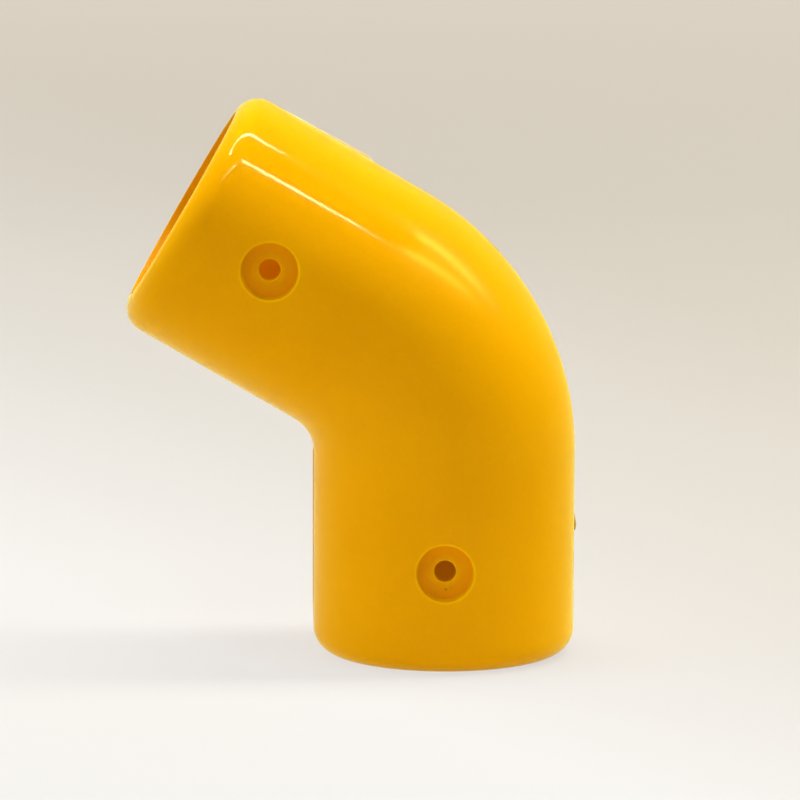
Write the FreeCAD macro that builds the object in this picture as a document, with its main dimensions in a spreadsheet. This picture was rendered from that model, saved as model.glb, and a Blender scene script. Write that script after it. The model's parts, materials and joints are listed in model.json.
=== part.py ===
"""Tube elbow connector: one moulding with two sockets joined by a swept bend.

The centreline lies in the XZ plane. It rises along +Z from the middle of the lower mouth, which is
the origin, follows an arc towards -X and ends straight at the upper mouth. The two screw seats face -Y.
"""
import FreeCAD, Part
import math
import os
import Sketcher
from FreeCAD import Placement, Rotation, Vector

doc = FreeCAD.newDocument("tube_elbow_connector")

# Driving dimensions in millimetres, the angle in degrees.
SIZES = [
    ("socket_d", 50.6, "inside diameter of both sockets"),
    ("socket_depth", 45.0, "depth of a socket, from its mouth to the stop shoulder"),
    ("stop_height", 2.3, "radial height of the stop shoulder"),
    ("wall", 6.4, "wall thickness round a socket"),
    ("leg_length", 49.2, "straight length of a leg, from its mouth to the bend"),
    ("crook_radius", 9.5, "radius of the outside skin in the crook of the bend"),
    ("turn_angle", 60.0, "change of direction between the two legs"),
    ("lip_width", 0.4, "flat lip left round a mouth inside its rounding"),
    ("hole_from_mouth", 24.7, "distance of a screw hole from its mouth"),
    ("screw_d", 5.2, "diameter of a screw hole"),
    ("head_d", 13.6, "diameter of the counterbore round a screw hole"),
    ("seat_wall", 2.6, "material left between a counterbore and the socket"),
    ("seat_lip_radius", 0.4, "rounding of the counterbore's outer edge"),
    ("hole_lip_radius", 0.3, "rounding of the screw hole's edge in the counterbore"),
    ("gate_from_mouth", 30.0, "height of the moulding gate's stub above the lower mouth"),
    ("gate_length", 4.2, "length of the gate's stub along the leg"),
    ("gate_proud", 0.45, "height of the gate's stub above the skin"),
    ("gate_width", 2.0, "width of the gate's stub across the leg"),
]

sheet = doc.addObject("Spreadsheet::Sheet", "sizes")
for row, (alias, value, note) in enumerate(SIZES, start=1):
    sheet.set(f"A{row}", note)
    sheet.set(f"B{row}", str(value))
    sheet.setAlias(f"B{row}", alias)
doc.recompute()

# Sizes that follow from the driving dimensions, as expressions on the sheet.
SOCKET_R = "sizes.socket_d / 2"
OUTER_R = "(sizes.socket_d / 2 + sizes.wall)"
PASSAGE_R = "(sizes.socket_d / 2 - sizes.stop_height)"
BEND_R = f"({OUTER_R} + sizes.crook_radius)"
RIM_R = "(sizes.wall - sizes.lip_width)"
SEAT_DEPTH = "(sizes.wall - sizes.seat_wall)"
TURN = "(sizes.turn_angle * 1 deg)"
UPPER_MOUTH_X = f"(-{BEND_R} * (1 - cos({TURN})) - sizes.leg_length * sin({TURN}))"
UPPER_MOUTH_Z = f"(sizes.leg_length * (1 + cos({TURN})) + {BEND_R} * sin({TURN}))"
UPPER_HOLE_X = f"({UPPER_MOUTH_X} + sizes.hole_from_mouth * sin({TURN}))"
UPPER_HOLE_Z = f"({UPPER_MOUTH_Z} - sizes.hole_from_mouth * cos({TURN}))"

body = doc.addObject("PartDesign::Body", "elbow_body")
body.Label = "elbow_body"
origin_planes = {feature.Role: feature for feature in body.Origin.OriginFeatures}

# Length under which two points count as one, and points read along an edge to tell where it runs.
TOUCH = 1e-4
EDGE_SAMPLES = 8


def size(expression):
    """Value of an expression on the sheet, as a plain number."""
    value = sheet.evalExpression(expression.replace("sizes.", ""))
    return float(getattr(value, "Value", value))


def sketch_on(plane, name, offset=None, bindings=None):
    """Sketch on an origin plane of the body; the offset's terms follow the sheet where they are bound."""
    sketch = body.newObject("Sketcher::SketchObject", name)
    sketch.AttachmentSupport = [(origin_planes[plane], "")]
    sketch.MapMode = "FlatFace"
    sketch.AttachmentOffset = offset or Placement()
    for term, expression in (bindings or {}).items():
        sketch.setExpression(f"AttachmentOffset.{term}", expression)
    return sketch


def constrain(sketch, *terms, bound_to=None):
    """Add a constraint, and tie its value to the sheet where an expression is given."""
    if bound_to is None:
        sketch.addConstraint(Sketcher.Constraint(*terms))
        return
    value = size(bound_to)
    if terms[0] == "Angle":
        value = math.radians(value)
    index = sketch.addConstraint(Sketcher.Constraint(*terms, value))
    sketch.setExpression(f"Constraints[{index}]", bound_to)


def circle_at_origin(sketch, radius):
    """Circle round the sketch's own origin."""
    sketch.addGeometry(Part.Circle(Vector(), Vector(0, 0, 1), size(radius)))
    constrain(sketch, "Coincident", 0, 3, -1, 1)
    constrain(sketch, "Radius", 0, bound_to=radius)


def feature(kind, name, **links):
    """Feature of the body with its links set."""
    made = body.newObject(f"PartDesign::{kind}", name)
    for link, target in links.items():
        setattr(made, link, target)
    return made


def edges_where(base, test):
    """Names of the edges of a feature's shape that pass a test."""
    return [f"Edge{index}" for index, edge in enumerate(base.Shape.Edges, start=1) if test(edge)]


def check_cut(before, after):
    """Stop where a cut has taken no material away."""
    if after.Shape.Volume >= before.Shape.Volume:
        raise RuntimeError(f"{after.Name} cuts nothing")


# Centreline: lower leg, bend, upper leg.
centreline = sketch_on("XZ_Plane", "centreline")
bend_start = Vector(0, size("sizes.leg_length"), 0)
bend_centre = bend_start - Vector(size(BEND_R), 0, 0)
half_turn = Rotation(Vector(0, 0, 1), size("sizes.turn_angle") / 2)
bend_mid = bend_centre + half_turn.multVec(bend_start - bend_centre)
bend_end = bend_centre + half_turn.multVec(bend_mid - bend_centre)
upper_end = Vector(size(UPPER_MOUTH_X), size(UPPER_MOUTH_Z), 0)
centreline.addGeometry(Part.LineSegment(Vector(), bend_start))
centreline.addGeometry(Part.Arc(bend_start, bend_mid, bend_end))
centreline.addGeometry(Part.LineSegment(bend_end, upper_end))
LOWER_LEG, BEND, UPPER_LEG = range(3)
constrain(centreline, "Coincident", LOWER_LEG, 1, -1, 1)
constrain(centreline, "Vertical", LOWER_LEG)
constrain(centreline, "Tangent", LOWER_LEG, 2, BEND, 1)
constrain(centreline, "Tangent", BEND, 2, UPPER_LEG, 1)
constrain(centreline, "Distance", LOWER_LEG, bound_to="sizes.leg_length")
constrain(centreline, "Distance", UPPER_LEG, bound_to="sizes.leg_length")
constrain(centreline, "Radius", BEND, bound_to=BEND_R)
constrain(centreline, "Angle", UPPER_LEG, bound_to=f"90 deg + {TURN}")
spine = (centreline, ["Edge1", "Edge2", "Edge3"])

# Outer skin: one circle swept along the whole centreline.
outer_section = sketch_on("XY_Plane", "outer_section")
circle_at_origin(outer_section, OUTER_R)
outer_skin = feature("AdditivePipe", "outer_skin", Profile=outer_section, Spine=spine)
doc.recompute()

# Rounded mouths: the rounding leaves a narrow flat lip round each socket.
mouth_centres = [Vector(), Vector(size(UPPER_MOUTH_X), 0, size(UPPER_MOUTH_Z))]


def is_mouth_edge(edge):
    """True for the outer edge of either mouth."""
    if not isinstance(edge.Curve, Part.Circle):
        return False
    return any(edge.Curve.Center.isEqual(centre, TOUCH) for centre in mouth_centres)


rim_rounding = feature("Fillet", "rim_rounding", Base=(outer_skin, edges_where(outer_skin, is_mouth_edge)))
rim_rounding.setExpression("Radius", RIM_R)

# Passage: the narrower way through the bend, whose ends are the stop shoulders of the sockets.
passage_section = sketch_on("XY_Plane", "passage_section")
circle_at_origin(passage_section, PASSAGE_R)
passage = feature("SubtractivePipe", "passage", Profile=passage_section, Spine=spine)

# Sockets: each sketch lies in its mouth with its normal pointing out of it.
lower_mouth_frame = Placement(mouth_centres[0], Rotation(Vector(0, 1, 0), 180))
upper_mouth_frame = Placement(mouth_centres[1], Rotation(Vector(0, -1, 0), size("sizes.turn_angle")))
upper_bindings = {"Base.x": UPPER_MOUTH_X, "Base.z": UPPER_MOUTH_Z, "Rotation.Angle": "sizes.turn_angle"}
lower_section = sketch_on("XY_Plane", "lower_socket_section", lower_mouth_frame)
upper_section = sketch_on("XY_Plane", "upper_socket_section", upper_mouth_frame, upper_bindings)
sockets = []
for name, section in (("lower_socket", lower_section), ("upper_socket", upper_section)):
    circle_at_origin(section, SOCKET_R)
    socket = feature("Pocket", name, Profile=section)
    socket.setExpression("Length", "sizes.socket_depth")
    sockets.append(socket)

# Gate stub: the trimmed remains of the moulding gate on the outside of the lower leg. Its slope
# runs out into the skin at its upper end, and its root lies as deep in the wall as its tip stands proud.
gate_profile = sketch_on("XZ_Plane", "gate_profile")
gate_low = size("sizes.gate_from_mouth")
gate_root = size(f"{OUTER_R} - sizes.gate_proud")
gate_tip = size(f"{OUTER_R} + sizes.gate_proud")
GATE_CORNERS = [
    Vector(gate_root, gate_low, 0),
    Vector(gate_tip, gate_low, 0),
    Vector(gate_root, gate_low + 2 * size("sizes.gate_length"), 0),
]
GATE_FOOT, GATE_SLOPE, GATE_BACK = range(3)
for index, corner in enumerate(GATE_CORNERS):
    gate_profile.addGeometry(Part.LineSegment(corner, GATE_CORNERS[(index + 1) % len(GATE_CORNERS)]))
for index in (GATE_FOOT, GATE_SLOPE, GATE_BACK):
    constrain(gate_profile, "Coincident", index, 2, (index + 1) % len(GATE_CORNERS), 1)
constrain(gate_profile, "Horizontal", GATE_FOOT)
constrain(gate_profile, "Vertical", GATE_BACK)
constrain(gate_profile, "DistanceX", -1, 1, GATE_FOOT, 1, bound_to=f"{OUTER_R} - sizes.gate_proud")
constrain(gate_profile, "DistanceY", -1, 1, GATE_FOOT, 1, bound_to="sizes.gate_from_mouth")
constrain(gate_profile, "Distance", GATE_FOOT, bound_to="2 * sizes.gate_proud")
constrain(gate_profile, "Distance", GATE_BACK, bound_to="2 * sizes.gate_length")
gate_stub = feature("Pad", "gate_stub", Profile=gate_profile, SideType="Symmetric")
gate_stub.setExpression("Length", "sizes.gate_width")

# Screw seats: a counterbored hole through the front wall of each leg.
crown_frame = Placement(Vector(0, 0, size(OUTER_R)), Rotation())
hole_centres = sketch_on("XZ_Plane", "hole_centres", crown_frame, {"Base.z": OUTER_R})
HOLE_POSITIONS = [("0", "sizes.hole_from_mouth"), (UPPER_HOLE_X, UPPER_HOLE_Z)]
for index, (across, up) in enumerate(HOLE_POSITIONS):
    centre = Vector(size(across), size(up), 0)
    hole_centres.addGeometry(Part.Circle(centre, Vector(0, 0, 1), size("sizes.screw_d") / 2))
    constrain(hole_centres, "Diameter", index, bound_to="sizes.screw_d")
    constrain(hole_centres, "DistanceX", -1, 1, index, 3, bound_to=across)
    constrain(hole_centres, "DistanceY", -1, 1, index, 3, bound_to=up)
doc.recompute()
screw_seats = feature("Hole", "screw_seats", Profile=hole_centres, DepthType="Dimension", DrillPoint="Flat")
screw_seats.HoleCutType = "Counterbore"
screw_seats.HoleCutCustomValues = True
screw_seats.setExpression("Diameter", "sizes.screw_d")
screw_seats.setExpression("Depth", f"sizes.wall + {SOCKET_R}")
screw_seats.setExpression("HoleCutDiameter", "sizes.head_d")
screw_seats.setExpression("HoleCutDepth", SEAT_DEPTH)
doc.recompute()
check_cut(rim_rounding, passage)
check_cut(passage, sockets[0])
check_cut(sockets[0], sockets[1])
check_cut(gate_stub, screw_seats)

# Softened edges of the screw seats.
hole_axes = [Vector(size(across), 0, size(up)) for across, up in HOLE_POSITIONS]
seat_floor_y = -(size(SOCKET_R) + size("sizes.seat_wall"))


def runs_round_hole(edge, radius):
    """True where every sampled point of an edge lies at one radius from the axis of a screw hole."""
    points = [Vector(point.x, 0, point.z) for point in edge.discretize(EDGE_SAMPLES)]
    for axis in hole_axes:
        if all(abs(point.distanceToPoint(axis) - radius) < TOUCH for point in points):
            return True
    return False


def is_seat_lip(edge):
    """True for the outer edge of a counterbore, all of which lies clear of its floor."""
    return edge.BoundBox.YMax < seat_floor_y - TOUCH and runs_round_hole(edge, size("sizes.head_d") / 2)


def is_hole_lip(edge):
    """True for the edge of a screw hole in the floor of its counterbore."""
    on_floor = abs(edge.BoundBox.YMin - seat_floor_y) < TOUCH and edge.BoundBox.YLength < TOUCH
    return on_floor and runs_round_hole(edge, size("sizes.screw_d") / 2)


seat_lips = feature("Fillet", "seat_lips", Base=(screw_seats, edges_where(screw_seats, is_seat_lip)))
seat_lips.setExpression("Radius", "sizes.seat_lip_radius")
doc.recompute()
hole_lips = feature("Fillet", "hole_lips", Base=(seat_lips, edges_where(seat_lips, is_hole_lip)))
hole_lips.setExpression("Radius", "sizes.hole_lip_radius")
doc.recompute()

for item in doc.Objects:
    if "Invalid" in item.State or "Error" in item.State:
        raise RuntimeError(f"{item.Name} failed: {item.State}")
if body.Shape.isNull() or not body.Shape.isValid() or len(body.Shape.Solids) != 1:
    raise RuntimeError("elbow_body is not one valid solid")

os.makedirs("parts", exist_ok=True)
body.Shape.exportStep(f"parts/{body.Label}.step")
box = body.Shape.optimalBoundingBox(False)
print(f"{body.Label}: {box.XLength:.2f} x {box.YLength:.2f} x {box.ZLength:.2f} mm")
print(f"volume {body.Shape.Volume:.0f} mm3")
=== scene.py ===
# %% [markdown]
# # Tube elbow connector
#
# The object is one plastic moulding: two round sockets, joined by a bend of 60 degrees, with a counterbored
# screw seat on each leg. This lesson dresses the solid that the frame holds. It makes the visible skin again
# with the fine marks of moulding, gives it a finish, and lights it in a plain studio.
#
# The frame comes first, because every size and place below is read from it or set beside it.

# %% Load the frame
import json
import math
import bpy
from collections import namedtuple
from functools import partial
from mathutils import Matrix, Vector


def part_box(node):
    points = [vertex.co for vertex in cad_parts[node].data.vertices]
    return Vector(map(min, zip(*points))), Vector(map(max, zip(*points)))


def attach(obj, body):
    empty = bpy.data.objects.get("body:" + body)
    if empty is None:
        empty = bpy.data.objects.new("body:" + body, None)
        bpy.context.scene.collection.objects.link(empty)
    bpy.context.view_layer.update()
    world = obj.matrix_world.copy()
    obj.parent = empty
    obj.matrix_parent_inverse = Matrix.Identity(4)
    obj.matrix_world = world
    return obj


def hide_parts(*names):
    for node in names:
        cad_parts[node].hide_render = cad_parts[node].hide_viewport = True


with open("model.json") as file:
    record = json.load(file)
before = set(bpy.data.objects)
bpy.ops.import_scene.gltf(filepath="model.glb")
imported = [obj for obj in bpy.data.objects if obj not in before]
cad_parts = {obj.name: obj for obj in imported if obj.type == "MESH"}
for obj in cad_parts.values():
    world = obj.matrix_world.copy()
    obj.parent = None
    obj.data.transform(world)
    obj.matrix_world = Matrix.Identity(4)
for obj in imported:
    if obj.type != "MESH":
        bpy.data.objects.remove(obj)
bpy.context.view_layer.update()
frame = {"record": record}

# %% [markdown]
# ## Sizes
#
# A real elbow is dimensioned along its centreline: a straight leg, an arc, a straight leg. The frame's
# mounts give the sockets and the screw holes, and the box of the solid gives the outside radius. The
# radius in the crook is the one driving size that no mount holds, so it is written here. The second cell
# holds the small sizes of rims, seats and stops.

# %% Sizes of the elbow
MM = 0.001
CROOK_RADIUS = 9.5 * MM
mounts = {mount["name"]: mount for mount in frame["record"]["mounts"]}
lower, upper, screws = (mounts[name] for name in ("lower_socket", "upper_socket", "screw_holes"))
box_low, box_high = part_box("elbow_body")

OUTER_R = (box_high.y - box_low.y) / 2
SOCKET_R = lower["dims"]["r_mm"] * MM
SOCKET_DEPTH = lower["dims"]["length_mm"] * MM
TURN = Vector(upper["axis"]).angle(Vector((0, 0, 1)))
BEND_R = OUTER_R + CROOK_RADIUS
corner_height = -upper["pos_m"][0] / math.sin(TURN)
LEG = corner_height - BEND_R * math.tan(TURN / 2)
LENGTH = 2 * LEG + BEND_R * TURN
hole_circle_r = screws["dims"]["pcd_mm"] * MM / 2
HOLE_FROM_MOUTH = screws["pos_m"][2] - math.sqrt(hole_circle_r**2 - screws["pos_m"][0] ** 2)
SCREW_R = screws["dims"]["hole_r_mm"] * MM
print(f"leg {LEG / MM:.2f} mm, bend radius {BEND_R / MM:.2f} mm, length {LENGTH / MM:.2f} mm")

# %% Sizes of rims, seats and stops
LIP_WIDTH = 0.4 * MM
RIM_R = OUTER_R - SOCKET_R - LIP_WIDTH
STOP_HEIGHT = 2.3 * MM
PASSAGE_R = SOCKET_R - STOP_HEIGHT
EDGE_BREAK = 0.15 * MM
HEAD_R = 6.8 * MM
SEAT_WALL = 2.6 * MM
SEAT_FLOOR = SOCKET_R + SEAT_WALL
SEAT_LIP_R = 0.55 * MM
SEAT_CORNER_R = 0.25 * MM
HOLE_LIP_R = 0.3 * MM
PIN_MARK_R = 3.9 * MM
PIN_MARK_DEPTH = 0.1 * MM
print(f"rim rounding {RIM_R / MM:.2f} mm, seat floor {SEAT_FLOOR / MM:.2f} mm from the axis")

# %% [markdown]
# ## The wall's section
#
# The elbow could be cut from a solid with booleans, but their edges shade badly. It follows a rule
# instead: a wall section is turned into a straight sleeve, the seats are set into it, and the whole is bent
# along the centreline. So everything is drawn straight first, with the station s running from the lower
# mouth to the upper one.
#
# The section is a closed line of points (s, r). A leg is drawn once and mirrored for the other end. The
# skin has a point wherever a seat, a fin or the gate begins or ends. The rim carries a fine groove, where
# the mould's end core met its cavity.

# %% Stations along a leg
STEP = 0.1 * MM
SEAT_HALF = 10.6 * MM
SEAT_CELLS = 8
LEG_CELLS = 4
FIN_START = RIM_R + STEP
FIN_LOW = 12.0 * MM
TOP_FIN_PEAK = 32.5 * MM
TOP_FIN_END = 35.5 * MM
GATE_START = 30.0 * MM

seat_steps = range(-SEAT_CELLS, SEAT_CELLS + 1)
seat_stations = [HOLE_FROM_MOUTH + SEAT_HALF * step / SEAT_CELLS for step in seat_steps]
leg_run = LEG - seat_stations[-1]
leg_end_stations = [seat_stations[-1] + leg_run * cell / LEG_CELLS for cell in range(1, LEG_CELLS + 1)]
mark_stations = [FIN_START, FIN_LOW, TOP_FIN_PEAK, TOP_FIN_END, GATE_START - STEP]
skin_stations = sorted(seat_stations + leg_end_stations + mark_stations)
print(len(skin_stations), "stations on a leg")

# %% Rim, skin and bore of one leg
RIM_STEPS = 18
GROOVE_ANGLE = math.radians(31)
GROOVE_HALF = math.radians(0.5)
GROOVE_CLEAR = 4 * GROOVE_HALF
GROOVE_DEPTH = 0.06 * MM

groove = [
    (GROOVE_ANGLE - 3 * GROOVE_HALF, 0.0),
    (GROOVE_ANGLE - GROOVE_HALF, GROOVE_DEPTH),
    (GROOVE_ANGLE + GROOVE_HALF, GROOVE_DEPTH),
    (GROOVE_ANGLE + 3 * GROOVE_HALF, 0.0),
]
plain_rim = [(math.pi / 2 * step / RIM_STEPS, 0.0) for step in range(RIM_STEPS + 1)]
clear_rim = [(angle, deep) for angle, deep in plain_rim if abs(angle - GROOVE_ANGLE) > GROOVE_CLEAR]
rim = [
    (RIM_R - (RIM_R - deep) * math.cos(angle), OUTER_R - RIM_R + (RIM_R - deep) * math.sin(angle))
    for angle, deep in sorted(clear_rim + groove)
]
skin = [(station, OUTER_R) for station in skin_stations]
bore = [(0.0, SOCKET_R + EDGE_BREAK), (EDGE_BREAK, SOCKET_R)]
bore += [(station, SOCKET_R) for station in skin_stations if station < SOCKET_DEPTH]
bore += [(SOCKET_DEPTH, SOCKET_R), (SOCKET_DEPTH, PASSAGE_R + EDGE_BREAK)]
bore += [(SOCKET_DEPTH + EDGE_BREAK, PASSAGE_R), (LEG, PASSAGE_R)]
print(len(rim), "points on a rim,", len(skin), "on the skin,", len(bore), "in the bore")

# %% Closed section
BEND_ROWS = 48
bend_stations = [LEG + BEND_R * TURN * row / BEND_ROWS for row in range(1, BEND_ROWS)]


def both_ends(half, bend_radius):
    """Line from the lower mouth through the bend to the upper mouth, which mirrors the lower one."""
    bend = [(station, bend_radius) for station in bend_stations]
    return half + bend + [(LENGTH - station, radius) for station, radius in reversed(half)]


outside = both_ends(rim + skin, OUTER_R)
inside = both_ends(bore, PASSAGE_R)
section = outside + inside[::-1]
print(len(section), "points round the wall's section")

# %% [markdown]
# ## Marks of the mould
#
# Where the two mould halves meet, in the plane of the bend, a fin of plastic is squeezed out. It rises
# along the top of the upper leg until a knife has cut it off, it runs down the crook side of the lower leg,
# and on the bend a bit of it was torn. On the outside of the lower leg the gate was twisted off and left a
# stub. The tear and the stub are painted darker, and along the crook a dark line is painted shade.
#
# All of these could be separate small pieces, but they are one with the skin. They change only with the
# station, so each is a short line of (station, height) or (station, share of painted darkening).

# %% Heights of the fins along the elbow
TOP_FIN_TALL = 0.75 * MM
TOP_FIN_SHORT = 0.25 * MM
CROOK_FIN_TALL = 0.2 * MM
CROOK_FIN_SHORT = 0.16 * MM
CROOK_FIN_END = LEG + 6.0 * MM
MOUTH_FIN = 0.12 * MM
TORN_PROUD = 0.2 * MM
TORN_HALF = 0.9 * MM
TORN_AT = LENGTH - 61.7 * MM

top_fin_line = [
    (LENGTH - TOP_FIN_END, 0.0),
    (LENGTH - TOP_FIN_PEAK, TOP_FIN_TALL),
    (LENGTH - FIN_LOW, TOP_FIN_SHORT),
    (LENGTH - FIN_START, 0.0),
]
torn_line = [(TORN_AT - TORN_HALF, 0.0), (TORN_AT, TORN_PROUD), (TORN_AT + TORN_HALF, 0.0)]
crook_fin_line = [
    (FIN_START, 0.0),
    (FIN_LOW, CROOK_FIN_SHORT),
    (LEG, CROOK_FIN_TALL),
    (CROOK_FIN_END, 0.0),
]
mouth_fin_line = [(LENGTH - FIN_LOW, 0.0), (LENGTH - FIN_START, MOUTH_FIN)]
print(f"top fin {TOP_FIN_TALL / MM:.2f} mm and crook fin {CROOK_FIN_TALL / MM:.2f} mm at their tallest")

# %% Height of the gate, darker marks and painted shade
GATE_PROUD = 0.45 * MM
GATE_THICKEST = GATE_START + SEAT_HALF / SEAT_CELLS
GATE_END = 34.2 * MM
# Shares of darker colour at the tear and the gate, and of painted shade along the crook beside its fin.
GATE_END_DARKNESS = 0.4
CROOK_PAINTED_SHADE = 0.45
CROOK_RIM_PAINTED_SHADE = 0.2

gate_line = [
    (GATE_START - STEP, 0.0),
    (GATE_START, GATE_PROUD / 2),
    (GATE_THICKEST, GATE_PROUD),
    (GATE_END, 0.0),
]
gate_dark_line = [(GATE_START - STEP, 0.0), (GATE_START, 1.0), (GATE_END, GATE_END_DARKNESS)]
torn_dark_line = [(TORN_AT - TORN_HALF, 0.0), (TORN_AT, 1.0), (TORN_AT + TORN_HALF, 0.0)]
crook_painted_shade_line = [
    (FIN_START, CROOK_RIM_PAINTED_SHADE),
    (FIN_LOW, CROOK_PAINTED_SHADE),
    (LEG, CROOK_PAINTED_SHADE),
    (CROOK_FIN_END, 0.0),
]
# The crook's dark line is painted shade; the tear and the gate are only painted darker.
MARKS = {
    "wall_fin_outer": [top_fin_line, torn_line],
    "wall_fin_inner": [crook_fin_line, mouth_fin_line],
    "wall_gate": [gate_line],
    "wall_soil_gate": [gate_dark_line],
    "wall_soil_outer": [torn_dark_line],
    "wall_soil_inner": [crook_painted_shade_line],
}
print(len(MARKS), "kinds of mark along the elbow")


# %% Value of a line at a station
def height_along(line, station):
    """Height at a station on a line of (station, height) points, and none beyond its ends."""
    for (start, low), (end, high) in zip(line, line[1:]):
        if start <= station <= end:
            return low + (high - low) * (station - start) / (end - start)
    return 0.0


print(f"gate {height_along(gate_line, GATE_THICKEST) / MM:.2f} mm proud at its thickest")

# %% [markdown]
# ## The rings of a seat
#
# A screw seat is a counterbore with a softened lip, a flat floor with the mark of the core pin, and a
# screw hole through to the socket. It is grown ring by ring from a square opening in the skin. A ring has
# a radius, a shift inwards, the cylinder that it lies on (0 for a flat ring), how square it still is, and
# how strong the painted highlight on its lip is.

# %% Rings round an edge
LIP_STEPS = 6
# Share of the painted highlight where a lip starts; the rounding gets all of it.
LIP_START_HIGHLIGHT = 0.3
Ring = namedtuple("Ring", "radius shift cylinder square thin", defaults=(0.0, 0.0, 0.0))


def quarter(steps):
    """Angles from 0 to a quarter turn, without the first."""
    return [math.pi / 2 * step / steps for step in range(1, steps + 1)]


def rounding(radius, shift, cylinder, lip_radius):
    """Rings round an outside edge of a given lip radius, from the face into the hole."""
    rings = [Ring(radius + lip_radius, shift, cylinder, thin=LIP_START_HIGHLIGHT)]
    for angle in quarter(LIP_STEPS):
        out, deep = lip_radius * (1 - math.sin(angle)), lip_radius * (1 - math.cos(angle))
        rings.append(Ring(radius + out, shift + deep, cylinder, thin=1.0))
    rings.append(Ring(radius, shift + lip_radius + STEP, cylinder))
    return rings


print(len(rounding(HEAD_R, 0.0, OUTER_R, SEAT_LIP_R)), "rings round the lip of a seat")

# %% Rings from the skin to the socket
SKIN_SQUARES = (0.8, 0.6, 0.4, 0.25, 0.12, 0.04)
SOCKET_SQUARES = (0.0, 0.1, 0.25, 0.45, 0.7, 1.0)
CORNER_STEPS = 4
CORNER_REACH = 1.2 * MM
floor_shift = -SEAT_FLOOR
pin_shift = floor_shift + PIN_MARK_DEPTH

seat_rings = [Ring(HEAD_R + SEAT_LIP_R, 0.0, OUTER_R, square) for square in SKIN_SQUARES]
seat_rings += rounding(HEAD_R, 0.0, OUTER_R, SEAT_LIP_R)
seat_rings.append(Ring(HEAD_R, floor_shift - SEAT_CORNER_R))
for angle in quarter(CORNER_STEPS):
    inward, above = SEAT_CORNER_R * (1 - math.cos(angle)), SEAT_CORNER_R * (1 - math.sin(angle))
    seat_rings.append(Ring(HEAD_R - inward, floor_shift - above))
seat_rings.append(Ring(HEAD_R - CORNER_REACH, floor_shift))
seat_rings.append(Ring(PIN_MARK_R + STEP, floor_shift))
seat_rings.append(Ring(PIN_MARK_R, pin_shift))
seat_rings += rounding(SCREW_R, pin_shift, 0.0, HOLE_LIP_R)
seat_rings += [Ring(SCREW_R, 0.0, SOCKET_R, square) for square in SOCKET_SQUARES]
print(len(seat_rings), "rings in a seat")

# %% [markdown]
# ## Guides for the node tree
#
# Geometry Nodes read their guides from one mesh of loose points and edges: the section, the circle that
# it is turned round and the list of rings. The circle has close points beside the fins and the gate, so
# that these get crisp sides. A number on each point says which guide it belongs to, and more numbers carry
# the marks of the mould and the place along the elbow for the finish.

# %% Circle of the turn
CIRCLE_STEPS = 144
MIDDLE_R = (OUTER_R + SOCKET_R) / 2
FIN_TOP_HALF = 0.1 * MM
FIN_FOOT_HALF = 0.25 * MM
FIN_TINT_HALF = 0.6 * MM
GATE_HALF = 1.0 * MM
GATE_DARK_HALF = 1.7 * MM

mark_offsets = [FIN_TOP_HALF, FIN_FOOT_HALF, FIN_TINT_HALF, GATE_HALF, GATE_HALF + STEP, GATE_DARK_HALF]
close_turns = [side * math.asin(offset / OUTER_R) for offset in mark_offsets for side in (-1, 1)]
line_turns = [(turn + line) % (2 * math.pi) for turn in close_turns for line in (0, math.pi)]
even_turns = [2 * math.pi * step / CIRCLE_STEPS for step in range(CIRCLE_STEPS)]
turns = sorted(even_turns + line_turns)
circle = [(MIDDLE_R * math.cos(turn), MIDDLE_R * math.sin(turn), 0.0) for turn in turns]
print(len(circle), "points round the circle")

# %% Guide mesh
SECTION, CIRCLE, SEAT = range(3)


def closed_line(start, count):
    """Edges that join points in a row and close on the first."""
    return [(start + step, start + (step + 1) % count) for step in range(count)]


guide_points = [(radius - MIDDLE_R, -station, 0.0) for station, radius in section]
guide_points += circle
guide_points += [(ring.radius, ring.shift, ring.cylinder) for ring in seat_rings]
guide_edges = closed_line(0, len(section)) + closed_line(len(section), len(circle))
guides = bpy.data.meshes.new("elbow_guides")
guides.from_pydata(guide_points, guide_edges, [])
print(len(guide_points), "guide points")

# %% Numbers on the guides
stations = [station for station, radius in section]
columns = {
    name: [max(height_along(line, station) for line in lines) for station in stations]
    for name, lines in MARKS.items()
}
columns["wall_from_mouth"] = [min(station, LENGTH - station) for station in stations]
columns["wall_in_bore"] = [0.0] * len(outside) + [1.0] * len(inside)
after_section = [0.0] * (len(circle) + len(seat_rings))
columns = {name: values + after_section for name, values in columns.items()}
before_seats = [0.0] * (len(section) + len(circle))
columns["square"] = before_seats + [ring.square for ring in seat_rings]
# Share of the painted highlight on the lips of seats and holes.
columns["thin_lip"] = before_seats + [ring.thin for ring in seat_rings]
for name, values in columns.items():
    guides.attributes.new(name, "FLOAT", "POINT").data.foreach_set("value", values)
roles = [SECTION] * len(section) + [CIRCLE] * len(circle) + [SEAT] * len(seat_rings)
guides.attributes.new("role", "INT", "POINT").data.foreach_set("value", roles)
print("numbers on the guides:", ", ".join(columns))

# %% [markdown]
# ## One helper for nodes
#
# Node trees are easy to click together and long to write down. One small function adds a node, sets its
# properties and feeds its inputs, by place or by name. An input is fed by a socket, by a node, which
# stands for its first output, or by a plain value.

# %% Node helper
def add(tree, kind, inputs=(), **settings):
    """Add a node to a tree, set its properties and feed its inputs."""
    node = tree.nodes.new(kind)
    for name, value in settings.items():
        setattr(node, name, value)
    for place, source in inputs.items() if isinstance(inputs, dict) else enumerate(inputs):
        if isinstance(source, bpy.types.Node):
            source = source.outputs[0]
        if isinstance(source, bpy.types.NodeSocket):
            tree.links.new(source, node.inputs[place])
        else:
            node.inputs[place].default_value = source
    return node


# %% [markdown]
# ## The node tree
#
# The tree has one input for each size that its rule needs, so the elbow can be changed from the modifier
# panel. Its first part picks the guides apart by their role and turns the section into a straight sleeve
# with Curve to Mesh. There the circle's own numbers would win over the section's, so they are removed.

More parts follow.
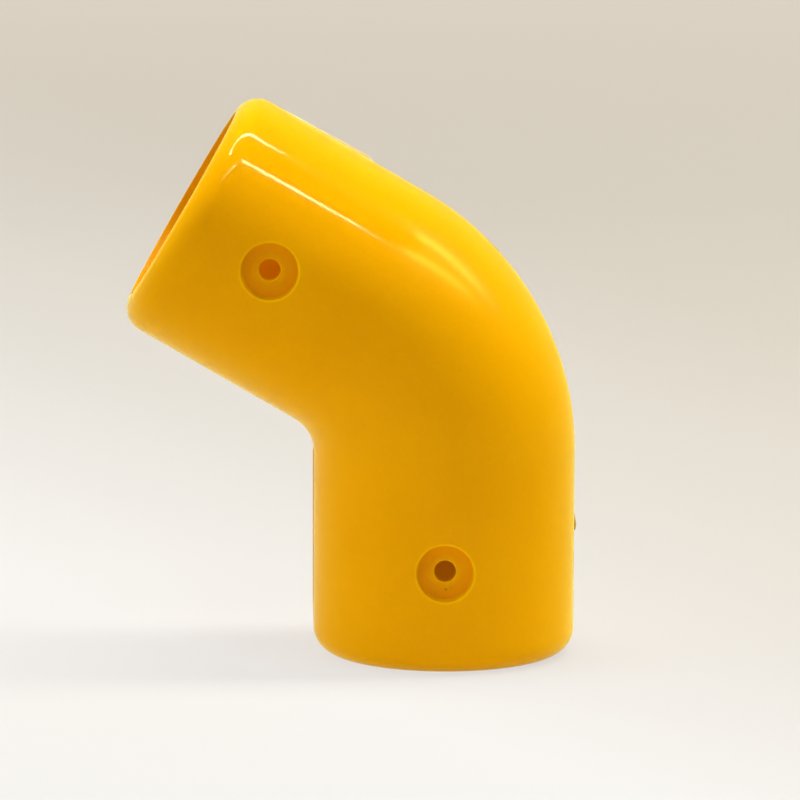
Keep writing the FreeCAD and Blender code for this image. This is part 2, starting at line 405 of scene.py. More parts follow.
# %% Inputs of the tree
SEAT_HALF_ANGLE = math.radians(20)
# Height of the top fin at which its painted highlight is full.
FIN_HIGHLIGHT_HEIGHT = 0.3 * MM
SIZES = {
    "Outer Radius": OUTER_R,
    "Middle Of Wall": MIDDLE_R,
    "Length": LENGTH,
    "Leg": LEG,
    "Bend Radius": BEND_R,
    "Turn": TURN,
    "Hole From Mouth": HOLE_FROM_MOUTH,
    "Seat Half": SEAT_HALF,
    "Seat Half Angle": SEAT_HALF_ANGLE,
    "Fin Top Half": FIN_TOP_HALF,
    "Fin Foot Half": FIN_FOOT_HALF,
    "Fin Tint Half": FIN_TINT_HALF,
    "Fin Seen Through": FIN_HIGHLIGHT_HEIGHT,
    "Gate Half": GATE_HALF,
    "Gate Soil Half": GATE_DARK_HALF,
    "Step": STEP,
}
elbow_tree = bpy.data.node_groups.new("elbow_by_rule", "GeometryNodeTree")
elbow_tree.is_modifier = True
elbow = partial(add, elbow_tree)
new_input = partial(elbow_tree.interface.new_socket, in_out="INPUT")
new_input("Guides", socket_type="NodeSocketGeometry")
size_sockets = {name: new_input(name, socket_type="NodeSocketFloat") for name in SIZES}
plastic_socket = new_input("Plastic", socket_type="NodeSocketMaterial")
elbow_tree.interface.new_socket("Elbow", in_out="OUTPUT", socket_type="NodeSocketGeometry")
given = elbow("NodeGroupInput").outputs
print(len(size_sockets), "sizes in the modifier panel")

# %% Turn the section into a straight sleeve
role = elbow("GeometryNodeInputNamedAttribute", ["role"], data_type="INT")
picked = []
for number in (SECTION, CIRCLE, SEAT):
    same = elbow("FunctionNodeCompare", {2: role, 3: number}, data_type="INT", operation="EQUAL")
    picked.append(elbow("GeometryNodeSeparateGeometry", [given["Guides"], same]))
section_line = elbow("GeometryNodeMeshToCurve", [picked[SECTION]])
circle_line = elbow("GeometryNodeMeshToCurve", [picked[CIRCLE]])
bare_circle = elbow("GeometryNodeRemoveAttribute", [circle_line, "wall_*"], pattern_mode="WILDCARD")
sleeve = elbow("GeometryNodeCurveToMesh", {"Curve": bare_circle, "Profile Curve": section_line})
print(len(elbow_tree.nodes), "nodes up to the straight sleeve")

# %% [markdown]
# The seats need a square opening in the skin and in the socket behind it. Every point is told first where
# it lies from its own seat: across as a share of the radius, the seat's station, and along from there.

# %% Place of each point from its seat
across, front, along = elbow("ShaderNodeSeparateXYZ", [elbow("GeometryNodeInputPosition")]).outputs
flat_place = elbow("ShaderNodeCombineXYZ", [across, front, 0.0])
from_axis = elbow("ShaderNodeVectorMath", [flat_place], operation="LENGTH").outputs["Value"]
middle = elbow("ShaderNodeMath", [given["Length"], 0.5], operation="MULTIPLY")
in_upper = elbow("ShaderNodeMath", [along, middle], operation="GREATER_THAN")
upper_hole = elbow("ShaderNodeMath", [given["Length"], given["Hole From Mouth"]], operation="SUBTRACT")
seat_station = elbow("ShaderNodeMix", {0: in_upper, 2: given["Hole From Mouth"], 3: upper_hole})
from_seat = elbow("ShaderNodeMath", [along, seat_station], operation="SUBTRACT")
across_share = elbow("ShaderNodeMath", [across, from_axis], operation="DIVIDE")
seat_place = elbow("ShaderNodeCombineXYZ", [across_share, seat_station, from_seat])
placed = elbow(
    "GeometryNodeStoreNamedAttribute",
    {"Geometry": sleeve, "Name": "seat_place", "Value": seat_place},
    data_type="FLOAT_VECTOR",
    domain="POINT",
)
print(len(elbow_tree.nodes), "nodes up to the place of each point")

# %% Open a square at each seat
backwards = elbow("ShaderNodeMath", [front, -1.0], operation="MULTIPLY")
bearing = elbow("ShaderNodeMath", [across, backwards], operation="ARCTAN2")
off_bearing = elbow("ShaderNodeMath", [bearing], operation="ABSOLUTE")
off_station = elbow("ShaderNodeMath", [from_seat], operation="ABSOLUTE")
beside = elbow("ShaderNodeMath", [off_bearing, given["Seat Half Angle"]], operation="LESS_THAN")
level = elbow("ShaderNodeMath", [off_station, given["Seat Half"]], operation="LESS_THAN")
in_square = elbow("FunctionNodeBooleanMath", [beside, level], operation="AND")
opened = elbow("GeometryNodeDeleteGeometry", [placed, in_square], domain="FACE")
print(len(elbow_tree.nodes), "nodes up to the square openings")

# %% [markdown]
# A Repeat zone grows the seat. Each pass extrudes the open edge, reads the next ring from the list and
# moves the new points onto it: part circle, part square, laid on the ring's cylinder and shifted inwards.
# The last ring is the square in the socket's wall, where Merge by Distance joins the two.

# %% Start a pass for each ring
edge_faces = elbow("GeometryNodeInputMeshEdgeNeighbors")
is_open = elbow("FunctionNodeCompare", {2: edge_faces, 3: 1}, data_type="INT", operation="EQUAL")
is_skin = elbow("ShaderNodeMath", [from_axis, given["Middle Of Wall"]], operation="GREATER_THAN")
open_skin = elbow("FunctionNodeBooleanMath", [is_open, is_skin], operation="AND")

grow = elbow("GeometryNodeRepeatInput")
grown = elbow("GeometryNodeRepeatOutput")
grow.pair_with_output(grown)
grown.repeat_items.new("BOOLEAN", "Edge")
elbow_tree.links.new(opened.outputs[0], grow.inputs["Geometry"])
elbow_tree.links.new(open_skin.outputs[0], grow.inputs["Edge"])
grow.inputs["Iterations"].default_value = len(seat_rings)
extruded = elbow(
    "GeometryNodeExtrudeMesh",
    {"Mesh": grow.outputs["Geometry"], "Selection": grow.outputs["Edge"], "Offset Scale": 0.0},
    mode="EDGES",
)
new_edge = extruded.outputs["Top"]
print(len(seat_rings), "passes in the Repeat zone")

# %% Read the ring
ring_place = elbow(
    "GeometryNodeSampleIndex",
    [picked[SEAT], elbow("GeometryNodeInputPosition"), grow.outputs["Iteration"]],
    data_type="FLOAT_VECTOR",
)
ring_radius, shift, cylinder = elbow("ShaderNodeSeparateXYZ", [ring_place]).outputs
ring_square, ring_highlight = (
    elbow(
        "GeometryNodeSampleIndex",
        [picked[SEAT], elbow("GeometryNodeInputNamedAttribute", [name]), grow.outputs["Iteration"]],
    )
    for name in ("square", "thin_lip")
)
print(len(elbow_tree.nodes), "nodes up to the numbers of a ring")

# %% Part circle, part square
kept_place = elbow("GeometryNodeInputNamedAttribute", ["seat_place"], data_type="FLOAT_VECTOR")
kept_across, kept_station, kept_along = elbow("ShaderNodeSeparateXYZ", [kept_place]).outputs
skin_across = elbow("ShaderNodeMath", [kept_across, given["Outer Radius"]], operation="MULTIPLY")
outwards = elbow("ShaderNodeCombineXYZ", [skin_across, 0.0, kept_along])
way = elbow("ShaderNodeVectorMath", [outwards], operation="NORMALIZE")
on_circle = elbow("ShaderNodeVectorMath", {0: way, "Scale": ring_radius}, operation="SCALE")
square_across = elbow("ShaderNodeMath", [kept_across, cylinder], operation="MULTIPLY")
on_square = elbow("ShaderNodeCombineXYZ", [square_across, 0.0, kept_along])
on_ring = elbow("ShaderNodeMix", {0: ring_square, 4: on_circle, 5: on_square}, data_type="VECTOR")
on_ring_parts = elbow("ShaderNodeSeparateXYZ", [on_ring.outputs[1]]).outputs
ring_across, ring_along = on_ring_parts["X"], on_ring_parts["Z"]
print(len(elbow_tree.nodes), "nodes up to the outline of a ring")

# %% Lay the ring on its cylinder and join the last one
WELD = 0.002 * MM
across_squared = elbow("ShaderNodeMath", [ring_across, 2.0], operation="POWER")
cylinder_squared = elbow("ShaderNodeMath", [cylinder, 2.0], operation="POWER")
left_squared = elbow("ShaderNodeMath", [cylinder_squared, across_squared], operation="SUBTRACT")
depth_squared = elbow("ShaderNodeMath", [left_squared, 0.0], operation="MAXIMUM")
depth = elbow("ShaderNodeMath", [depth_squared], operation="SQRT")
ring_front = elbow("ShaderNodeMath", [shift, depth], operation="SUBTRACT")
ring_up = elbow("ShaderNodeMath", [kept_station, ring_along], operation="ADD")
new_place = elbow("ShaderNodeCombineXYZ", [ring_across, ring_front, ring_up])
moved = elbow(
    "GeometryNodeSetPosition", {"Geometry": extruded, "Selection": new_edge, "Position": new_place}
)
# Each new ring keeps its share of the painted lip highlight.
lip_highlighted = elbow(
    "GeometryNodeStoreNamedAttribute",
    {"Geometry": moved, "Selection": new_edge, "Name": "thin_lip", "Value": ring_highlight},
    domain="POINT",
)
elbow_tree.links.new(lip_highlighted.outputs[0], grown.inputs["Geometry"])
elbow_tree.links.new(new_edge, grown.inputs["Edge"])
seated = elbow("GeometryNodeMergeByDistance", {"Geometry": grown.outputs["Geometry"], "Distance": WELD})
print(len(elbow_tree.nodes), "nodes up to the finished seats")

# %% [markdown]
# The fins stand on the skin along two lines of the straight sleeve, where y is zero: one on the outside of
# the bend and one in the crook. Their height comes from the section and their width from the distance to
# the line. The gate's stub is worked out the same way, and the taller of the two lifts the skin.

# %% Heights of fins and gate on the skin
marks = {name: elbow("GeometryNodeInputNamedAttribute", [name]) for name in MARKS}
from_line = elbow("ShaderNodeMath", [front], operation="ABSOLUTE")
is_outer = elbow("ShaderNodeMath", [across, 0.0], operation="GREATER_THAN")
fin_share = elbow(
    "ShaderNodeMapRange",
    [from_line, given["Fin Top Half"], given["Fin Foot Half"], 1.0, 0.0],
    interpolation_type="SMOOTHSTEP",
)
fin = elbow("ShaderNodeMix", {0: is_outer, 2: marks["wall_fin_inner"], 3: marks["wall_fin_outer"]})
fin_up = elbow("ShaderNodeMath", [fin, fin_share], operation="MULTIPLY")
gate_foot = elbow("ShaderNodeMath", [given["Gate Half"], given["Step"]], operation="ADD")
gate_share = elbow("ShaderNodeMapRange", [from_line, given["Gate Half"], gate_foot, 1.0, 0.0])
outer_gate = elbow("ShaderNodeMath", [gate_share, is_outer], operation="MULTIPLY")
gate_up = elbow("ShaderNodeMath", [marks["wall_gate"], outer_gate], operation="MULTIPLY")
proud = elbow("ShaderNodeMath", [fin_up, gate_up], operation="MAXIMUM")
radial = elbow("ShaderNodeVectorMath", [flat_place], operation="NORMALIZE")
lift = elbow("ShaderNodeVectorMath", {0: radial, "Scale": proud}, operation="SCALE")
print(len(elbow_tree.nodes), "nodes up to the lift of the skin")

# %% [markdown]
# The finish needs to know where the skin is painted darker, as painted shade along the crook and darker
# colour at the tear and the gate, and where the outer fin carries a painted highlight. Both could be painted
# on a map. They are kept as attributes of the points instead, so they stay in place when a size changes.
# They are worked out before the skin is lifted.

# %% Darker skin and painted shade
near_fin = elbow(
    "ShaderNodeMapRange", [from_line, given["Fin Foot Half"], given["Fin Tint Half"], 1.0, 0.0]
)
# Along the crook this darkening is painted shade; on the outside it darkens the tear.
fin_shade_and_darkness = elbow("ShaderNodeMix", {0: is_outer, 2: marks["wall_soil_inner"], 3: marks["wall_soil_outer"]})
fin_shade_and_darkness_near = elbow("ShaderNodeMath", [fin_shade_and_darkness, near_fin], operation="MULTIPLY")
near_gate = elbow(
    "ShaderNodeMapRange",
    [from_line, given["Gate Half"], given["Gate Soil Half"], 1.0, 0.0],
    interpolation_type="SMOOTHSTEP",
)
gate_darkness = elbow("ShaderNodeMath", [marks["wall_soil_gate"], near_gate], operation="MULTIPLY")
outer_gate_darkness = elbow("ShaderNodeMath", [gate_darkness, is_outer], operation="MULTIPLY")
most_darkened = elbow("ShaderNodeMath", [fin_shade_and_darkness_near, outer_gate_darkness], operation="MAXIMUM")
print(len(elbow_tree.nodes), "nodes up to the soil")

# %% Painted highlight on the top fin, then lift the skin
# A painted highlight lies along the top fin, full where the fin stands tall.
outer_fin = elbow("ShaderNodeMath", [marks["wall_fin_outer"], is_outer], operation="MULTIPLY")
fin_highlight_share = elbow("ShaderNodeMapRange", [outer_fin, 0.0, given["Fin Seen Through"], 0.0, 1.0])
fin_highlight = elbow("ShaderNodeMath", [fin_highlight_share, near_fin], operation="MULTIPLY")
marked = seated
for name, value in (("soil", most_darkened), ("thin_fin", fin_highlight)):
    on_skin = elbow("ShaderNodeMath", [value, is_skin], operation="MULTIPLY")
    kept = {"Geometry": marked, "Name": name, "Value": on_skin}
    marked = elbow("GeometryNodeStoreNamedAttribute", kept, domain="POINT")
raised = elbow("GeometryNodeSetPosition", {"Geometry": marked, "Selection": is_skin, "Offset": lift})
print(len(elbow_tree.nodes), "nodes up to the raised marks")

# %% [markdown]
# Now the bend. A point's station past the leg tells how far it turns, at most the full 60 degrees. It is
# taken back to the start of the bend and turned about the bend's centre, so stations beyond the bend
# come out as a straight leg again.

# %% Bend the sleeve
past_leg = elbow("ShaderNodeMath", [along, given["Leg"]], operation="SUBTRACT")
as_angle = elbow("ShaderNodeMath", [past_leg, given["Bend Radius"]], operation="DIVIDE")
turned_by = elbow("ShaderNodeClamp", [as_angle, 0.0, given["Turn"]])
used_length = elbow("ShaderNodeMath", [turned_by, given["Bend Radius"]], operation="MULTIPLY")
left_along = elbow("ShaderNodeMath", [along, used_length], operation="SUBTRACT")
back_place = elbow("ShaderNodeCombineXYZ", [across, front, left_along])
centre_across = elbow("ShaderNodeMath", [given["Bend Radius"], -1.0], operation="MULTIPLY")
bend_centre = elbow("ShaderNodeCombineXYZ", [centre_across, 0.0, given["Leg"]])
towards_crook = elbow("ShaderNodeMath", [turned_by, -1.0], operation="MULTIPLY")
turned = elbow(
    "ShaderNodeVectorRotate",
    {"Vector": back_place, "Center": bend_centre, "Axis": (0.0, 1.0, 0.0), "Angle": towards_crook},
    rotation_type="AXIS_ANGLE",
)
bent = elbow("GeometryNodeSetPosition", {"Geometry": raised, "Position": turned})
print(len(elbow_tree.nodes), "nodes up to the bend")

# %% Shade, realize and set the material
CREASE = math.radians(38)
outward = elbow("GeometryNodeFlipFaces", [bent])
smooth = elbow("GeometryNodeSetShadeSmooth", {"Geometry": outward, "Shade Smooth": True})
edge_angle = elbow("GeometryNodeInputMeshEdgeAngle")
is_crease = elbow("ShaderNodeMath", [edge_angle, CREASE], operation="GREATER_THAN")
creased = elbow(
    "GeometryNodeSetShadeSmooth",
    {"Geometry": smooth, "Selection": is_crease, "Shade Smooth": False},
    domain="EDGE",
)
realized = elbow("GeometryNodeRealizeInstances", [creased])
finished = elbow("GeometryNodeSetMaterial", {"Geometry": realized, "Material": given["Plastic"]})
elbow("NodeGroupOutput", [finished])
print(len(elbow_tree.nodes), "nodes in the whole tree")

# %% [markdown]
# ## Yellow plastic
#
# The part is moulded in glass-filled nylon, coloured through with a warm safety yellow. One flat colour
# would look like paint. Short glass fibres and the flow in the mould leave faint clouds and a fine mottle
# in the colour and a slight waviness in the gloss, so three noises stand for them.

# %% Colours
RESIN = "F4A800"


def linear(hex_colour):
    """Linear RGBA from an sRGB hex value such as F6AC00."""
    parts = [int(hex_colour[digit : digit + 2], 16) / 255 for digit in (0, 2, 4)]
    return [part / 12.92 if part <= 0.04045 else ((part + 0.055) / 1.055) ** 2.4 for part in parts] + [1.0]


print("the resin in linear light:", [round(part, 3) for part in linear(RESIN)[:3]])

# %% Noises in glass-filled nylon
CLOUD_SIZE = 25 * MM
WAVE_SIZE = 6 * MM
# Real fibres are about 0.3 mm long. They are drawn more than twice as coarse, so that they show.
FIBRE_SIZE = 0.7 * MM
plastic = bpy.data.materials.new("glass_filled_nylon_moulded")
plastic.use_nodes = True
plastic.node_tree.nodes.clear()
paint = partial(add, plastic.node_tree)
spot = paint("ShaderNodeTexCoord").outputs["Object"]
cloud_noise = {"Vector": spot, "Scale": 1 / CLOUD_SIZE, "Detail": 3.0, "Roughness": 0.55}
clouds = paint("ShaderNodeTexNoise", cloud_noise)
fibres = paint("ShaderNodeTexNoise", {"Vector": spot, "Scale": 1 / FIBRE_SIZE, "Detail": 2.0})
waves = paint("ShaderNodeTexNoise", {"Vector": spot, "Scale": 1 / WAVE_SIZE, "Detail": 1.0})
print(f"clouds {CLOUD_SIZE / MM:.0f} mm, waves {WAVE_SIZE / MM:.0f} mm, fibres {FIBRE_SIZE / MM:.1f} mm")

# %% Resin with clouds and fibres
RESIN_CLOUD = "F7AD00"
FIBRE = "E59600"
CLOUD_SPAN = (0.3, 0.7)
FIBRE_SPAN = (0.35, 0.75)
FIBRE_MOST = 0.12
cloud_share = paint("ShaderNodeMapRange", [clouds, *CLOUD_SPAN, 0.0, 1.0])
fibre_share = paint("ShaderNodeMapRange", [fibres, *FIBRE_SPAN, 0.0, FIBRE_MOST])
coloured = linear(RESIN)
for share, tone in ((cloud_share, RESIN_CLOUD), (fibre_share, FIBRE)):
    coloured = paint("ShaderNodeMix", {0: share, 6: coloured, 7: linear(tone)}, data_type="RGBA").outputs[2]
print(f"fibres tint the resin by {FIBRE_MOST:.0%} at most")

# %% [markdown]
# The lips of the seats and holes carry a painted highlight, and the fin on top an almost pale painted
# highlight. The tear and the gate are painted darker, and the line along the crook is painted shade. The
# tree left all three as attributes, so they need no unwrapping. Two specks of dirt lie on the floor of the
# lower seat and one on the upper leg.

# %% Painted highlights, painted shade, darker marks and specks
# The lip and fin tints are painted highlights; the last tint is painted shade along the crook and darker
# colour at the tear and the gate.
TINTS = {"thin_lip": "FFC000", "thin_fin": "FFF2AC", "soil": "A8983A"}
SPECK_COLOUR = "6A4200"
Speck = namedtuple("Speck", "centre reach strength")
SPECKS = (
    Speck((0.2 * MM, -SEAT_FLOOR, 20.35 * MM), 0.5 * MM, 0.5),
    Speck((1.4 * MM, -SEAT_FLOOR, 20.85 * MM), 0.5 * MM, 0.25),
    Speck((-0.9 * MM, -9.4 * MM, 108.2 * MM), 0.45 * MM, 0.35),
)
for attribute, tone in TINTS.items():
    share = paint("ShaderNodeAttribute", attribute_name=attribute).outputs["Fac"]
    coloured = paint("ShaderNodeMix", {0: share, 6: coloured, 7: linear(tone)}, data_type="RGBA").outputs[2]
for speck in SPECKS:
    away = paint("ShaderNodeVectorMath", [spot, speck.centre], operation="DISTANCE").outputs["Value"]
    share = paint("ShaderNodeMapRange", [away, 0.0, speck.reach, speck.strength, 0.0])
    dirt = {0: share, 6: coloured, 7: linear(SPECK_COLOUR)}
    coloured = paint("ShaderNodeMix", dirt, data_type="RGBA").outputs[2]
print(len(TINTS), "tints and", len(SPECKS), "specks")

# %% [markdown]
# Fresh from the mould the plastic is glossy on the legs, where the steel was polished along the draw. It is
# duller round the bend, where the polisher could not reach, and in the bore. A little yellow sheen stands
# for the light that soaks into coloured plastic and comes out again at its edges.

# %% Gloss of moulded nylon
LEG_ROUGHNESS = 0.05
BEND_ROUGHNESS = 0.2
DULL_FROM = LEG - 2 * MM
DULL_TO = LEG + 4 * MM
CLOUD_DULL = 0.02
BORE_DULL = 0.25
WAVE_DEPTH = 0.05 * MM
WAVE_STRENGTH = 0.05
from_mouth = paint("ShaderNodeAttribute", attribute_name="wall_from_mouth").outputs["Fac"]
in_bore = paint("ShaderNodeAttribute", attribute_name="wall_in_bore").outputs["Fac"]
polish = paint("ShaderNodeMapRange", [from_mouth, DULL_FROM, DULL_TO, LEG_ROUGHNESS, BEND_ROUGHNESS])
clouded = paint("ShaderNodeMath", [clouds, CLOUD_DULL, polish], operation="MULTIPLY_ADD")
roughness = paint("ShaderNodeMath", [in_bore, BORE_DULL, clouded], operation="MULTIPLY_ADD")
wavy = paint("ShaderNodeBump", {"Strength": WAVE_STRENGTH, "Distance": WAVE_DEPTH, "Height": waves})
nylon = {
    "Base Color": coloured,
    "Roughness": roughness,
    "IOR": 1.46,
    "Specular IOR Level": 0.03,
    "Sheen Weight": 0.5,
    "Sheen Roughness": 0.5,
    "Sheen Tint": linear("FFFA00"),
    "Normal": wavy,
}
paint("ShaderNodeOutputMaterial", [paint("ShaderNodeBsdfPrincipled", nylon)])
print(len(plastic.node_tree.nodes), "nodes in the plastic")

# %% [markdown]
# ## The finished elbow
#
# The tree runs once as a modifier on the guides. Its result is kept as a plain mesh, because a plain mesh
# exports and renders the same everywhere, and the modifier is removed.

# %% Evaluate the tree to a plain mesh
moulded_elbow = bpy.data.objects.new("moulded_elbow", guides)
bpy.context.scene.collection.objects.link(moulded_elbow)
rule = moulded_elbow.modifiers.new("elbow_by_rule", "NODES")
rule.node_group = elbow_tree
for name, socket in size_sockets.items():
    rule[socket.identifier] = SIZES[name]
rule[plastic_socket.identifier] = plastic
graph = bpy.context.evaluated_depsgraph_get()
skin_mesh = bpy.data.meshes.new_from_object(
    moulded_elbow.evaluated_get(graph), preserve_all_data_layers=True, depsgraph=graph
)
moulded_elbow.modifiers.remove(rule)
moulded_elbow.data = skin_mesh
bpy.data.meshes.remove(guides)
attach(moulded_elbow, "root")
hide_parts("elbow_body")
print(len(skin_mesh.vertices), "points,", len(skin_mesh.polygons), "faces in the elbow")

# %% [markdown]
# ## Floor
#
# The elbow stands on its lower mouth on pale matt paper. Lamps strong enough to make the paper this light
# would be too strong for the elbow. So one share of the floor is plain diffuse, which keeps the shadow, and
# the other share is a painted tone that only camera, mirror and glass rays see. The tone is lightest near
# a bright side in front of the elbow and to its left, and evens out far from it. All other rays meet a soft
# pool of light round the elbow instead, as pale paper gives.

# %% Floor
FLOOR_R = 6.0
FLOOR_SIDES = 96
floor_turns = [2 * math.pi * side / FLOOR_SIDES for side in range(FLOOR_SIDES)]
floor_edge = [(FLOOR_R * math.cos(turn), FLOOR_R * math.sin(turn), 0.0) for turn in floor_turns]
floor_mesh = bpy.data.meshes.new("floor")
floor_mesh.from_pydata(floor_edge, [], [range(FLOOR_SIDES)])
studio_floor = bpy.data.objects.new("studio_floor", floor_mesh)
bpy.context.scene.collection.objects.link(studio_floor)
print("floor", 2 * FLOOR_R, "m across")


# %% Rays that show a surface
def shown_by(adder):
    """Node that is 1 for camera, mirror and glass rays, and 0 for rays that only carry light."""
    rays = adder("ShaderNodeLightPath").outputs
    seen = adder("ShaderNodeMath", [rays["Is Camera Ray"], rays["Is Glossy Ray"]], operation="MAXIMUM")
    return adder("ShaderNodeMath", [seen, rays["Is Transmission Ray"]], operation="MAXIMUM")


# %% Nearness to the bright side
BRIGHT_SIDE_AWAY = 1.357
BRIGHT_SIDE_NEAREST = 0.3
SLANT = -1.25
NEARNESS_SPAN = (0.448, 0.85)
floor_paint = bpy.data.materials.new("matt_paper_floor")
floor_paint.use_nodes = True
floor_paint.node_tree.nodes.clear()
floor_mesh.materials.append(floor_paint)
lay = partial(add, floor_paint.node_tree)
floor_spot = lay("ShaderNodeTexCoord").outputs["Object"]
floor_parts = lay("ShaderNodeSeparateXYZ", [floor_spot]).outputs
slanted = lay("ShaderNodeMath", [floor_parts["X"], SLANT, 1.0], operation="MULTIPLY_ADD")
from_bright = lay("ShaderNodeMath", [floor_parts["Y"], BRIGHT_SIDE_AWAY], operation="ADD")
clear_of_bright = lay("ShaderNodeMath", [from_bright, BRIGHT_SIDE_NEAREST], operation="MAXIMUM")
nearness = lay("ShaderNodeMath", [slanted, clear_of_bright], operation="DIVIDE")
near_share = lay("ShaderNodeMapRange", [nearness, *NEARNESS_SPAN, 0.0, 1.0])
print("bright side", BRIGHT_SIDE_AWAY, "m in front of the elbow")

# %% Painted tones of the floor
DARKEST_TONE = "CEC5B5"
MIDDLE_TONES = {0.433: "DBD6CD", 0.851: "EFEEEC"}
NEAREST_TONE = "EEEDEA"
FAR_TONE = "E1D7C7"
FAR_SPAN = (0.9, 1.8)
ramp = lay("ShaderNodeValToRGB", [near_share])
stops = ramp.color_ramp.elements
stops[0].color = linear(DARKEST_TONE)
stops[1].color = linear(NEAREST_TONE)
for position, tone in MIDDLE_TONES.items():
    stops.new(position).color = linear(tone)
from_elbow = lay("ShaderNodeVectorMath", [floor_spot], operation="LENGTH").outputs["Value"]
far_share = lay("ShaderNodeMapRange", [from_elbow, *FAR_SPAN, 0.0, 1.0])
painted = lay("ShaderNodeMix", {0: far_share, 6: ramp, 7: linear(FAR_TONE)}, data_type="RGBA").outputs[2]
print(len(stops), "tones near the elbow, one tone beyond", FAR_SPAN[1], "m")

# %% Light of the floor
PAPER = "E6E0D6"
POOL_R = 0.13
POOL_MIDDLE = 0.57
POOL_EVERYWHERE = 0.25
GLOW_SHARE = 0.45
PAINTED_SHARE = 0.8
in_pools = lay("ShaderNodeMath", [from_elbow, POOL_R], operation="DIVIDE")
pools_squared = lay("ShaderNodeMath", [in_pools, 2.0], operation="POWER")
fading = lay("ShaderNodeMath", [pools_squared, -1.0], operation="MULTIPLY")
pool = lay("ShaderNodeMath", [fading], operation="EXPONENT")
pool_light = lay("ShaderNodeMath", [pool, POOL_MIDDLE, POOL_EVERYWHERE], operation="MULTIPLY_ADD")
matt = lay("ShaderNodeBsdfDiffuse", {"Color": linear(PAPER)})
glow = lay("ShaderNodeEmission", {"Strength": pool_light})
picture = lay("ShaderNodeEmission", {"Color": painted})
shown = shown_by(lay)
bright = lay("ShaderNodeMixShader", [shown, glow, picture])
more_painted = PAINTED_SHARE - GLOW_SHARE
bright_share = lay("ShaderNodeMath", [shown, more_painted, GLOW_SHARE], operation="MULTIPLY_ADD")
lay("ShaderNodeOutputMaterial", [lay("ShaderNodeMixShader", [bright_share, matt, bright])])
print(len(floor_paint.node_tree.nodes), "nodes in the floor")

# %% [markdown]
# ## Soft walls
#
# A studio lights an object from large pale surfaces. The world stands for six of them, one for each
# direction. A ray meets each wall by the square of its own part in that direction. The squares add up to
# one, so the walls run into each other without an edge. The left wall is the strongest, then the one
# behind, which lights the rims of the elbow. Camera, mirror and glass rays see a plain backdrop instead.

# %% World
LEFT_WALL, RIGHT_WALL = 1.82, 0.0
FRONT_WALL, BACK_WALL = 0.29, 1.37
GROUND, CEILING = 0.0, 0.125
WALL_BLEND = 0.02
BACKDROP = "DAD1C2"
walls = ((LEFT_WALL, RIGHT_WALL), (FRONT_WALL, BACK_WALL), (GROUND, CEILING))
world = bpy.data.worlds.new("studio")
world.use_nodes = True
world.node_tree.nodes.clear()
bpy.context.scene.world = world
sky = partial(add, world.node_tree)
look = sky("ShaderNodeSeparateXYZ", [sky("ShaderNodeTexCoord").outputs["Generated"]])
wall_light = 0.0
for towards, (minus_wall, plus_wall) in zip(look.outputs, walls):
    wall = sky("ShaderNodeMapRange", [towards, -WALL_BLEND, WALL_BLEND, minus_wall, plus_wall])
    towards_squared = sky("ShaderNodeMath", [towards, towards], operation="MULTIPLY")
    wall_light = sky("ShaderNodeMath", [towards_squared, wall, wall_light], operation="MULTIPLY_ADD")
room = sky("ShaderNodeBackground", {"Color": linear("FFFFFF"), "Strength": wall_light})
backdrop = sky("ShaderNodeBackground", {"Color": linear(BACKDROP)})
sky("ShaderNodeOutputWorld", [sky("ShaderNodeMixShader", [shown_by(sky), room, backdrop])])
print(len(world.node_tree.nodes), "nodes in the world")

# %% [markdown]
# ## Lamps
#
# Two rows of strip lights hang overhead. The rim and the upper leg mirror the near part of each row as a
# bright line, and the bend mirrors the far part as a soft streak, with a gap between the two. A strip that
# is bright enough for such a line would flood the elbow with light, so the strips are only mirrored. A
# broad soft row just above each of them gives the light itself and is not mirrored.

# %% One overhead lamp
STRIP_HEIGHT = 1.2
SOFT_HEIGHT = 1.21


def overhead_lamp(name, start, end, width, radiance, colour, mirrored):
    """Flat lamp that looks down from start to end: a strip that is only mirrored, or soft light above it."""
    height = STRIP_HEIGHT if mirrored else SOFT_HEIGHT
    start, end = Vector((*start, height)), Vector((*end, height))
    run = end - start
    lamp_data = bpy.data.lights.new(name, "AREA")
    lamp_data.shape = "RECTANGLE"
    lamp_data.size = run.length
    lamp_data.size_y = width
    lamp_data.energy = radiance * math.pi * run.length * width
    lamp_data.color = linear(colour)[:3]
    lamp = bpy.data.objects.new(name, lamp_data)
    turned_along = Matrix.Rotation(math.atan2(run.y, run.x), 4, "Z")
    lamp.matrix_world = Matrix.Translation((start + end) / 2) @ turned_along
    lamp.visible_glossy = mirrored
    lamp.visible_diffuse = not mirrored
    bpy.context.scene.collection.objects.link(lamp)
    print(f"{name}: {run.length:.2f} m long, {lamp_data.energy:.0f} W")


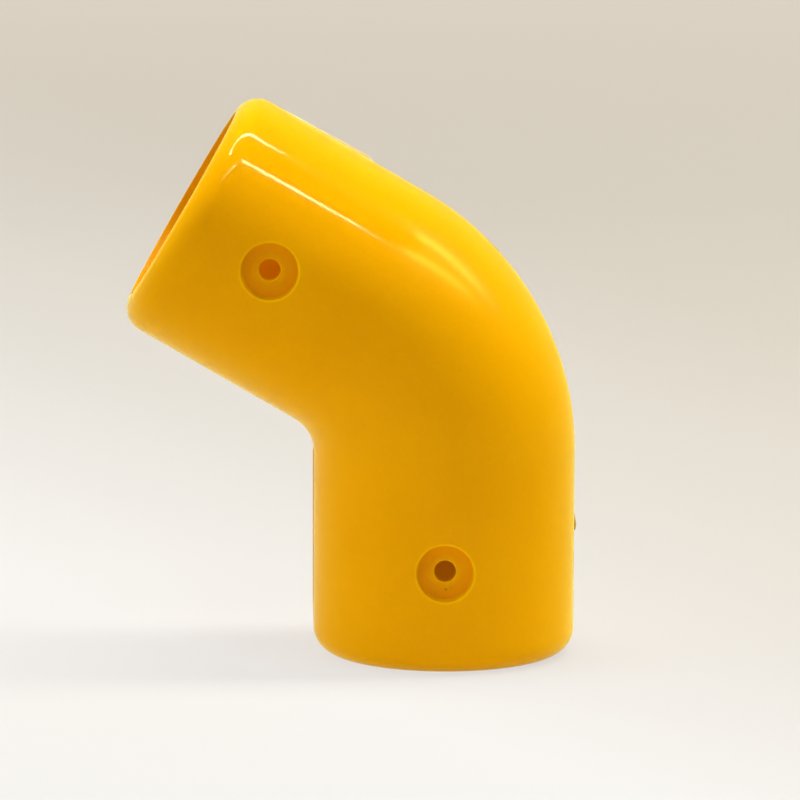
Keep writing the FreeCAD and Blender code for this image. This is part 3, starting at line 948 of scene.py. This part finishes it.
# %% Strips and soft rows
STRIP_WIDTH = 0.07
SOFT_WIDTH = 0.3
NEAR_COLOUR = "FFF4B8"
FAR_COLOUR = "FFF258"
SOFT_COLOUR = "FFFFFF"
Row = namedtuple("Row", "start end radiance colour")
STRIPS = {
    "strip_back_end": Row((-0.4, -0.1), (-0.38, 0.14), 270.0, NEAR_COLOUR),
    "strip_back_near": Row((-0.38, 0.17), (0.64, 0.12), 270.0, NEAR_COLOUR),
    "strip_back_far": Row((0.79, 0.045), (1.7, 0.12), 350.0, FAR_COLOUR),
    "strip_front_near": Row((-0.22, -0.845), (0.705, -0.532), 330.0, NEAR_COLOUR),
    "strip_front_far": Row((0.8, -0.51), (1.6, -0.34), 420.0, FAR_COLOUR),
}
SOFT_ROWS = {
    "soft_row_back": Row((-0.4, 0.15), (2.1, 0.15), 13.1, SOFT_COLOUR),
    "soft_row_front": Row((-0.2, -0.75), (1.6, -0.45), 3.46, SOFT_COLOUR),
}
for rows, width, mirrored in ((STRIPS, STRIP_WIDTH, True), (SOFT_ROWS, SOFT_WIDTH, False)):
    for name, row in rows.items():
        overhead_lamp(name, row.start, row.end, width, row.radiance, row.colour, mirrored)

# %% [markdown]
# ## Camera
#
# The camera looks at the elbow's front through a long lens from about 1.4 m away, down by 9 degrees, which
# keeps the legs almost parallel. Its place and turn were fitted to the elbow's outline.

# %% Camera
LENS = 255.16
NEAREST_SEEN = 50 * MM
CAMERA_PLACE = Vector((-16.4351, -1356.8549, 278.3827)) * MM
YAW = math.radians(-0.239)
DOWN = math.radians(9.076)
ROLL = math.radians(0.2028)
camera_data = bpy.data.cameras.new("camera")
camera_data.lens = LENS
camera_data.clip_start = NEAREST_SEEN
camera = bpy.data.objects.new("camera", camera_data)
level_turn = Matrix.Rotation(YAW, 4, "Z") @ Matrix.Rotation(math.pi / 2 - DOWN, 4, "X")
camera.matrix_world = Matrix.Translation(CAMERA_PLACE) @ level_turn @ Matrix.Rotation(ROLL, 4, "Z")
bpy.context.scene.collection.objects.link(camera)
bpy.context.scene.camera = camera
bpy.context.scene.view_settings.view_transform = "Standard"
print(f"camera {CAMERA_PLACE.length:.2f} m away, lens {LENS:.0f} mm")
